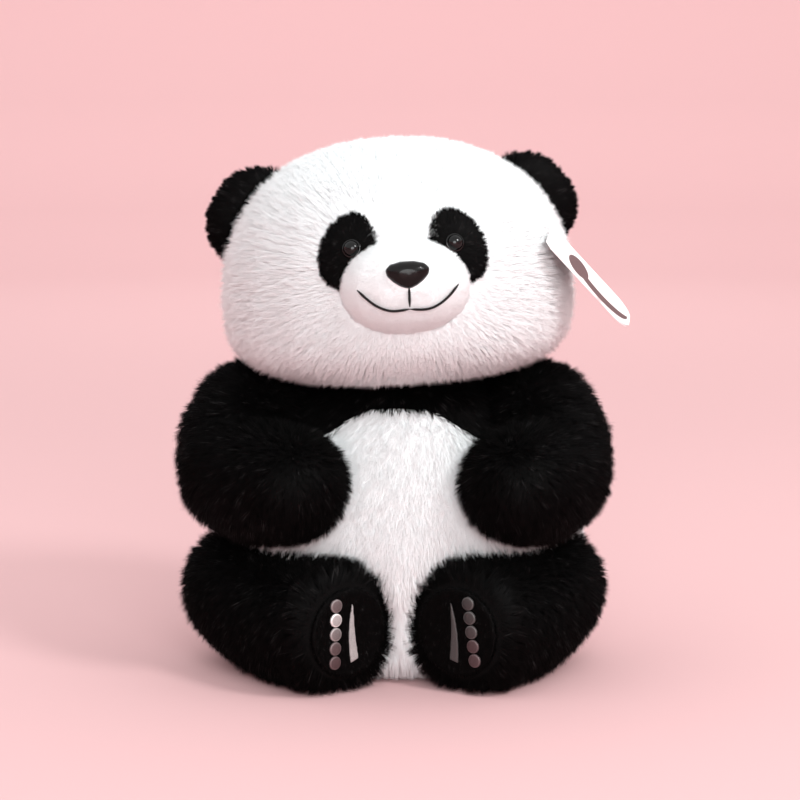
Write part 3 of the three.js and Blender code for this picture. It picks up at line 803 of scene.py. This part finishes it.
for side in SIDES:
    patch = f"{side}_eye_patch"
    mesh = outer_skin(patch + "_skin", [patch], voxel=0.0008, smoothing=3, grow=0.0002)
    add_skin(patch + "_skin", mesh, patch, "head", BLACK_BACKING)
    add_fur(patch + "_fur", mesh, 16000, outwards_from(middle(f"{side}_eye")), "head",
            "short_black_plush", BLACK_FUR, seed=13, length=0.0036,
            keep_off=[(eye_trees[side], 0.0006), (head_tree, -0.0002), (muzzle_tree, -0.0005)],
            lean=1.0, width=0.00026, tuft=0.0016, clump=0.4)

for ear, mesh in ear_meshes.items():
    add_skin(ear + "_skin", mesh, ear + "_cover", ear, BLACK_BACKING)
    add_fur(ear + "_fur", mesh, 26000, outwards_from(head_middle), ear, "black_plush", BLACK_FUR,
            seed=14, length=0.0066, keep_off=[(head_tree, 0.0005)],
            lean=0.9, width=0.0004, tuft=0.0024, clump=0.45)

# ------------------------------------------------------------------ body and limbs



LIMB_REACH = 0.008  # how near a limb the torso's fur begins to shorten
SHORTEST_SHARE = 0.65


def torso_scale(points):
    """Shorter fur where an arm or a leg rests against the torso."""
    gap = np.full(len(points), LIMB_REACH)
    for tree in limb_trees.values():
        gap = np.minimum(gap, gaps_to(points, tree, LIMB_REACH))
    return SHORTEST_SHARE + (1 - SHORTEST_SHARE) * smoothstep(gap, 0.002, LIMB_REACH)


add_skin("torso_cover_skin", white_mesh, "torso_cover", "body", WHITE_BACKING)
add_fur("torso_cover_fur", white_mesh, 150000, down_comb, "body", "white_plush", WHITE_FUR,
        seed=21, length=0.0088, keep_off=[(head_tree, 0.004)], scale=torso_scale, **LONG_WHITE)
add_skin("shoulder_yoke_skin", yoke_mesh, "shoulder_yoke", "body", BLACK_BACKING)
arm_keep_off = [(limb_trees[f"{side}_arm"], 0.001) for side in SIDES]
add_fur("shoulder_yoke_fur", yoke_mesh, 60000,
        outwards_from(np.array((0, 0, 0.15)), lift=-1.4), "body", "black_plush", BLACK_FUR,
        seed=31, length=0.0095, keep_off=[*arm_keep_off, (head_tree, 0.002)],
        lean=1.2, width=0.0004, tuft=0.0024, clump=0.4, droop=1.5)

for side in SIDES:
    arm, leg = f"{side}_arm", f"{side}_leg"
    arm_mesh, leg_mesh = limb_meshes[arm], limb_meshes[leg]
    add_skin(arm + "_skin", arm_mesh, arm + "_cover", arm, BLACK_BACKING,
             blend=arm_blend(side))
    add_fur(arm + "_fur", arm_mesh, 90000, down_comb, arm, "black_plush", BLACK_FUR, seed=41,
            length=0.0096, blend=arm_blend(side),
            keep_off=[(torso_tree, 0.003), (head_tree, 0.002)], **LONG_BLACK)
    add_skin(leg + "_skin", leg_mesh, leg + "_cover", leg, BLACK_BACKING)
    add_fur(leg + "_fur", leg_mesh, 90000, leg_comb(side), leg, "black_plush", BLACK_FUR,
            seed=51, length=0.0096,
            keep_off=[(torso_tree, 0.003), (sole_trees[side], 0.0025)], **LONG_BLACK)

# ------------------------------------------------------------------ hard parts, threads and prints


def plain_material(name, colour, roughness, gloss=0.5, grain=600, wear=0.06, bump=0.1):
    """A solid finish with fine grain in its tone, its roughness and its surface."""
    material, shader = node_material(name)
    place = add_node(material, "ShaderNodeTexCoord", {}).outputs["Object"]
    noise = add_node(material, "ShaderNodeTexNoise", {"Vector": place, "Scale": grain, "Detail": 5})
    grain_share = noise.outputs["Fac"]
    dark, light = ([min(1, c * share) for c in colour] for share in (1 - wear, 1 + wear))
    tone = colour_ramp(material, grain_share, [(0.3, dark), (0.7, light)])
    material.node_tree.links.new(tone, shader.inputs["Base Color"])
    rough = add_node(material, "ShaderNodeMapRange", {
        "Value": grain_share, "To Min": roughness * 0.8, "To Max": roughness * 1.2})
    material.node_tree.links.new(rough.outputs["Result"], shader.inputs["Roughness"])
    add_bump(material, shader, grain_share, strength=bump, distance=0.0003)
    shader.inputs["Specular IOR Level"].default_value = gloss
    return material, shader, tone


def pad_material(name, face, rim):
    """Metallic print on a raised pad: face colour at its middle, brighter towards its rim."""
    material, shader, tone = plain_material(name, face, 0.42, grain=2600, wear=0.25, bump=0.5)
    place = baked_place(material)
    edge = add_node(material, "ShaderNodeMapRange",
                    {"Value": place.outputs["X"], "From Min": 0.72, "From Max": 0.9})
    mixed_colour(material, shader, edge.outputs["Result"], tone, (*rim, 1))
    shader.inputs["Metallic"].default_value = 0.25
    return material


FINISHES = {
    name: plain_material(name, colour, roughness, gloss, grain=grain, bump=bump)[0]
    for name, colour, roughness, gloss, grain, bump in (
        ("eye_gloss", (0.001, 0.0009, 0.0009), 0.06, 0.3, 90, 0.02),
        ("nose_gloss", (0.003, 0.0022, 0.0022), 0.2, 0.2, 900, 0.12),
        ("black_thread", (0.004, 0.0035, 0.0035), 0.6, 0.3, 3000, 0.5),
        ("white_thread", (0.82, 0.80, 0.79), 0.7, 0.5, 3000, 0.5),
        ("polyester_wadding", (0.88, 0.87, 0.84), 0.95, 0.2, 700, 0.9),
        ("bag_cotton", (0.72, 0.69, 0.62), 0.9, 0.2, 1400, 0.7),
        ("loop_plastic", (0.83, 0.83, 0.84), 0.3, 0.5, 400, 0.05),
        ("label_satin", (0.84, 0.83, 0.81), 0.4, 0.5, 2200, 0.4),
    )
}


def points_at(node):
    source = frame["nodes"][node]
    mesh = source.data.copy()
    mesh.transform(source.matrix_world)
    points = points_of(mesh)
    bpy.data.meshes.remove(mesh)
    return points


def place_along(origin, way):
    """A frame at origin whose +Z runs along way."""
    turn = Vector((0, 0, 1)).rotation_difference(Vector(way)).to_matrix().to_4x4()
    return Matrix.Translation(Vector(origin)) @ turn


def turned_mesh(name, profile, place, segments=48):
    """A lathe mesh of (radius, height) pairs about the place's +Z."""
    turned = bmesh.new()
    rings, shares = [], {}
    widest = max(radius for radius, _ in profile)
    for radius, height in profile:
        steps = segments if radius > 0 else 1
        ring = []
        for i in range(steps):
            angle = 2 * math.pi * i / steps
            spot = Vector((radius * math.cos(angle), radius * math.sin(angle), height))
            ring.append(turned.verts.new(place @ spot))
        rings.append(ring)
        for vert in ring:
            shares[vert] = radius / widest
    layer = turned.loops.layers.uv.new("OFBake")
    for low, high in zip(rings, rings[1:]):
        for i in range(segments):
            spots = ((low, i), (low, i + 1), (high, i + 1), (high, i))
            corners = [ring[k % len(ring)] for ring, k in spots]
            face = turned.faces.new(list(dict.fromkeys(corners)))
            for loop in face.loops:
                loop[layer].uv = (0.02 + 0.96 * shares[loop.vert], 0.02 + 0.9 * i / segments)
    bmesh.ops.recalc_face_normals(turned, faces=turned.faces)
    mesh = bpy.data.meshes.new(name)
    turned.to_mesh(mesh)
    turned.free()
    mesh.shade_smooth()
    return mesh


def add_eye(side):
    """A safety eye: a flat rim round a glossy dome."""
    points = points_at(f"{side}_eye")
    heart = points.mean(axis=0)
    way = unit(heart - points_at(f"{side}_eye_washer").mean(axis=0))
    tip = ((points - heart) @ way).max()
    seat = heart + way * (tip - 0.0040)
    turns = np.linspace(0, math.pi / 2, 9)[:-1]
    shank = [(0, -0.008), (0.0016, -0.008), (0.0016, -0.0002)]
    rim = [(0.0046, -0.0002), (0.0051, 0.0002), (0.0052, 0.0007), (0.0049, 0.0011)]
    rim.append((0.0045, 0.0011))
    dome = [(0.0043 * math.cos(t), 0.0012 + 0.0032 * math.sin(t)) for t in turns] + [(0, 0.0044)]
    mesh = turned_mesh(f"{side}_eye_bead", shank + rim + dome, place_along(seat, way), 64)
    eye = new_piece(f"{side}_eye_bead", mesh, "head", FINISHES["eye_gloss"])
    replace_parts(eye, f"{side}_eye")


def thread_path(node, count):
    """The middle line of a thread's CAD tube, from one end to the other."""
    points = points_at(node)
    spread = points - points.mean(axis=0)
    way = np.linalg.svd(spread, full_matrices=False)[2][0]
    along = spread @ way
    edges = np.linspace(along.min() - 1e-6, along.max() + 1e-6, count + 1)
    bins = np.clip(np.digitize(along, edges) - 1, 0, count - 1)
    line = np.array([points[bins == i].mean(axis=0) for i in range(count) if np.any(bins == i)])
    first = line[0] + 0.6 * (line[0] - line[1])
    last = line[-1] + 0.6 * (line[-1] - line[-2])
    line = np.concatenate([[first], line, [last]])
    steps = np.linspace(0, len(line) - 1, 12 * (len(line) - 1) + 1)
    fine = np.stack([np.interp(steps, np.arange(len(line)), line[:, k]) for k in range(3)], axis=1)
    for _ in range(60):
        fine[1:-1] += 0.5 * ((fine[:-2] + fine[2:]) / 2 - fine[1:-1])
    return fine


THREAD_RADIUS = 0.00078
THREAD_PITCH = 0.0022
PLY_SIDES = 8


def twisted_thread(name, line, outwards):
    """Two plies twisted round a line, thinning where the stitch dives in at its ends."""
    twisted = bmesh.new()
    ways = unit(np.gradient(line, axis=0))
    run = np.concatenate([[0], np.cumsum(np.linalg.norm(np.diff(line, axis=0), axis=1))])
    side = unit(np.cross(ways, np.broadcast_to(outwards, ways.shape)))
    rise = np.cross(side, ways)
    thin = np.clip(np.minimum(run, run[-1] - run) / 0.003, 0.25, 1) ** 0.5
    angles = np.linspace(0, 2 * math.pi, PLY_SIDES + 1)[:-1]
    for ply in (0, math.pi):
        phase = (run / THREAD_PITCH * 2 * math.pi + ply)[:, None]
        twist = side * np.cos(phase) + rise * np.sin(phase)
        centre = line + twist * THREAD_RADIUS * 0.45 * thin[:, None]
        rings = []
        for k, spot in enumerate(centre):
            radius = THREAD_RADIUS * 0.62 * thin[k]
            ring = [spot + (side[k] * math.cos(a) + rise[k] * math.sin(a)) * radius for a in angles]
            rings.append([twisted.verts.new(Vector(corner)) for corner in ring])
        for low, high in zip(rings, rings[1:]):
            for i in range(PLY_SIDES):
                after = (i + 1) % PLY_SIDES
                twisted.faces.new((low[i], low[after], high[after], high[i]))
        twisted.faces.new(rings[0])
        twisted.faces.new(rings[-1])
    bmesh.ops.recalc_face_normals(twisted, faces=twisted.faces)
    mesh = bpy.data.meshes.new(name)
    twisted.to_mesh(mesh)
    twisted.free()
    mesh.shade_smooth()
    return mesh


for side in SIDES:
    add_eye(side)
nose_mesh = outer_skin("nose_bead", ["nose"], voxel=0.0005, smoothing=12, grow=0.0004)
nose = new_piece("nose_bead", nose_mesh, "head", FINISHES["nose_gloss"])
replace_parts(nose, "nose")

face_way = unit(nose_point - middle("muzzle_stuffing"))
for part, count in zip(STITCHES, (5, 10, 10)):
    stitch = f"mouth_stitch_{part}"
    line = thread_path(stitch, count) + face_way * 0.0012
    name = f"mouth_thread_{part}"
    mesh = twisted_thread(name, line, face_way)
    thread = new_piece(name, mesh, "head", FINISHES["black_thread"])
    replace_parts(thread, stitch)

# ------------------------------------------------------------------ soles

# Face and rim of a pad's print
SILVER = ((0.24, 0.228, 0.225), (0.55, 0.53, 0.52))
MAUVE = ((0.062, 0.036, 0.038), (0.11, 0.075, 0.077))
STRIPE_SILVER = (0.30, 0.288, 0.284)
# For each toe pad from the lowest up: 0 silver to 1 mauve, and how bright its print is drawn; the
# right sole's dimmed prints are painted shade, as that sole faces away from the key light
TOE_SHADES = {
    "left": ((1.0, 1.0), (0.92, 1.0), (0.5, 1.0), (0.0, 1.5), (0.75, 1.0)),
    "right": ((1.0, 0.85), (1.0, 0.8), (0.6, 0.3), (0.2, 0.16), (0.2, 0.16)),
}
# How bright each stripe's print is drawn: the right stripe is darkened as painted shade, as that
# sole faces away from the key light
STRIPE_PAINTED_SHADE = {"left": 1.0, "right": 0.13}


def toe_print(name, share, kept):
    # kept scales the print's brightness: its low values on the right sole are painted shade
    face, rim = (
        tuple((a + (b - a) * share) * kept for a, b in zip(silver, mauve))
        for silver, mauve in zip(SILVER, MAUVE)
    )
    return pad_material(name, face, rim)


TOE_PRINTS = {
    side: [toe_print(f"{side}_toe_print_{i + 1}", *shade) for i, shade in enumerate(shades)]
    for side, shades in TOE_SHADES.items()
}
# kept darkens the right stripe's print as painted shade
STRIPE_PRINTS = {
    side: plain_material(f"{side}_stripe_print", tuple(kept * c for c in STRIPE_SILVER), 0.42,
                         grain=2600, wear=0.4, bump=0.5)[0]
    for side, kept in STRIPE_PAINTED_SHADE.items()
}
PAD_TOP = 0.0014  # height of a toe pad's face at its rim
PAD_CROWN = 0.0003  # how much its middle stands above that


def add_sole(side):
    leg = f"{side}_leg"
    sole, stripe = f"{side}_foot_sole", f"{side}_foot_stripe"
    points = points_at(sole)
    centre = points.mean(axis=0)
    way = np.linalg.svd(points - centre, full_matrices=False)[2][2]
    way = way if way @ (centre - middle(leg + "_cover")) > 0 else -way
    disc = outer_skin(sole + "_pad", [sole], voxel=0.0009, smoothing=4, grow=0.0001)
    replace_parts(new_piece(sole + "_pad", disc, leg, BLACK_BACKING), sole)
    prints = [hull_tree(f"{side}_foot_toe_{i}") for i in range(1, 6)] + [hull_tree(stripe)]
    add_fur(sole + "_pile", disc, 26000, down_comb, leg, "short_black_plush", BLACK_FUR,
            seed=61, length=0.0022, keep_off=[(tree, 0.0004) for tree in prints],
            lean=1.0, width=0.00022, tuft=0.0016, clump=0.3)
    for i, finish in enumerate(TOE_PRINTS[side], start=1):
        node = f"{side}_foot_toe_{i}"
        spots = points_at(node)
        heart = spots.mean(axis=0)
        radius = np.linalg.norm(np.cross(spots - heart, way), axis=1).max()
        base = heart + way * ((spots - heart) @ way).min()
        profile = [(0, 0), (radius, 0), (radius, 0.0009)]
        profile += [(radius - 0.0003, 0.0013), (radius - 0.0009, PAD_TOP)]
        for share in (0.6, 0.35, 0.15):
            profile.append((radius * share, PAD_TOP + PAD_CROWN * (1 - share ** 2)))
        profile.append((0, PAD_TOP + PAD_CROWN))
        mesh = turned_mesh(node + "_print", profile, place_along(base, way), 40)
        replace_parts(new_piece(node + "_print", mesh, leg, finish), node)
    bar = outer_skin(stripe + "_print", [stripe], voxel=0.0004, smoothing=6, grow=0.0003)
    finish = STRIPE_PRINTS[side]
    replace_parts(new_piece(stripe + "_print", bar, leg, finish), stripe)


for side in SIDES:
    add_sole(side)

# ------------------------------------------------------------------ tail, labels and tag

tail_mesh = outer_skin("tail_skin", ["tail"], voxel=0.002, smoothing=6, grow=0.0006)
add_skin("tail_skin", tail_mesh, "tail", "body", WHITE_BACKING)
add_fur("tail_fur", tail_mesh, 14000, down_comb, "body", "white_plush", WHITE_FUR, seed=71,
        length=0.008, keep_off=[(torso_tree, 0.001)],
        lean=0.9, width=0.0003, tuft=0.002, clump=0.4)


def add_care_label():
    """A blank satin tape that waves a little."""
    low, high = (np.array(c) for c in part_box("care_label"))
    cells = 14
    grid = bmesh.new()
    rows = []
    for i in range(cells + 1):
        u = i / cells
        row = []
        for k in range(cells + 1):
            v = k / cells
            wave = 0.0009 * math.sin(2.4 * math.pi * v + 0.8 * u) * v
            spot = low + (high - low) * np.array((u, v, 0.5)) + np.array((0, 0, wave))
            row.append(grid.verts.new(Vector(spot)))
        rows.append(row)
    for row, after in zip(rows, rows[1:]):
        for k in range(cells):
            grid.faces.new((row[k], after[k], after[k + 1], row[k + 1]))
    mesh = bpy.data.meshes.new("care_label_tape")
    grid.to_mesh(mesh)
    grid.free()

    def thicken(holder):
        solid = holder.modifiers.new("solid", "SOLIDIFY")
        solid.thickness = 0.0006
        solid.offset = 0
    mesh = applied(mesh, thicken)
    mesh.shade_smooth()
    tape = new_piece("care_label_tape", mesh, "body", FINISHES["label_satin"])
    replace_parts(tape, "care_label")


add_care_label()


def maths(material, operation, first, second, **settings):
    """The result of a Math node on two sockets or numbers."""
    node = add_node(material, "ShaderNodeMath", {0: first, 1: second},
                    operation=operation, **settings)
    return node.outputs[0]


def ellipse_mask(material, place, centre, radii, softness=0.03):
    """1 inside an ellipse of the card's own coordinates, 0 outside it."""
    squares = []
    for axis, middle_at, radius in zip("XY", centre, radii):
        moved = maths(material, "SUBTRACT", place.outputs[axis], middle_at)
        share = maths(material, "DIVIDE", moved, radius)
        squares.append(maths(material, "MULTIPLY", share, share))
    mask = add_node(material, "ShaderNodeMapRange", {
        "Value": maths(material, "ADD", *squares),
        "From Min": 1 + softness, "From Max": 1 - softness})
    return mask.outputs["Result"]


CARD_WHITE = (0.90, 0.885, 0.88)
CARD_MAUVE = (0.085, 0.042, 0.044, 1)
# Centre and radii of each printed ellipse, as shares of the card's width and length
CRESCENT_OUTER = (0.50, 0.64), (0.49, 0.33)
CRESCENT_INNER = (0.82, 0.66), (0.52, 0.36)
SPOT = (0.42, 0.37), (0.36, 0.12)


def card_material():
    """White card with a printed mauve crescent and a round spot."""
    material, shader, paper = plain_material("tag_card_print", CARD_WHITE, 0.45, grain=1500,
                                             wear=0.02, bump=0.08)
    place = baked_place(material)
    outer, inner, spot = (
        ellipse_mask(material, place, *ellipse)
        for ellipse in (CRESCENT_OUTER, CRESCENT_INNER, SPOT)
    )
    crescent = maths(material, "SUBTRACT", outer, inner, use_clamp=True)
    inked = maths(material, "MAXIMUM", crescent, spot)
    mixed_colour(material, shader, inked, paper, CARD_MAUVE)
    return material


def add_tag():
    """The card, mapped by its own width and length from the end at its hole."""
    mesh = joined_copy("tag_card_face", ["tag_card"])
    points = points_of(mesh)
    heart = points.mean(axis=0)
    hole = middle("tag_loop")
    axes = np.linalg.svd(points - heart, full_matrices=False)[2]
    down = axes[0] if axes[0] @ (heart - hole) > 0 else -axes[0]
    wide = axes[1] if axes[1] @ np.array((0, 1.0, 0)) > 0 else -axes[1]
    shares = []
    for way in (wide, down):
        along = (points - heart) @ way
        shares.append((along - along.min()) / (along.max() - along.min()))
    layer = mesh.uv_layers.new(name="OFBake")
    for loop in mesh.loops:
        layer.uv[loop.index].vector = (shares[0][loop.vertex_index], shares[1][loop.vertex_index])
    mesh.shade_flat()
    card = new_piece("tag_card_face", mesh, "tag", card_material())
    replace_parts(card, "tag_card")


add_tag()

# ------------------------------------------------------------------ inside the covers


def add_wadding(node, body, voxel):
    """Lumpy fibre in place of a smooth stuffing solid, never larger than it."""
    name = node + "_fibre"
    mesh = remeshed(joined_copy(name, [node]), voxel, 2)
    points = points_of(mesh)
    coarse, fine = 1 + lumps(points, 0.022, 5), 1 + lumps(points, 0.008, 6)
    sunk = np.clip(0.0005 + 0.0006 * coarse + 0.0003 * fine, 0, 0.003)
    set_points(mesh, points - normals_of(mesh) * sunk[:, None])
    mesh.shade_smooth()
    fibre = new_piece(name, mesh, body, FINISHES["polyester_wadding"])
    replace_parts(fibre, node)


BODIES = frame["record"]["behaviour"]["bodies"]
BODY_OF = {node: body for body, nodes in BODIES.items() for node in nodes}
for node in list(frame["nodes"]):
    if node.endswith("_wadding") or node.endswith("_stuffing"):
        small = "ear" in node or "muzzle" in node
        add_wadding(node, BODY_OF[node], 0.002 if small else 0.004)

INSIDE_FINISHES = {
    "pellet_bag": "bag_cotton", "neck_seam_thread": "white_thread", "tag_loop": "loop_plastic",
    "left_eye_washer": "loop_plastic", "right_eye_washer": "loop_plastic",
    "nose_washer": "loop_plastic",
}
for node, finish in INSIDE_FINISHES.items():
    kept = frame["nodes"][node]
    kept.data.materials.clear()
    kept.data.materials.append(FINISHES[finish])
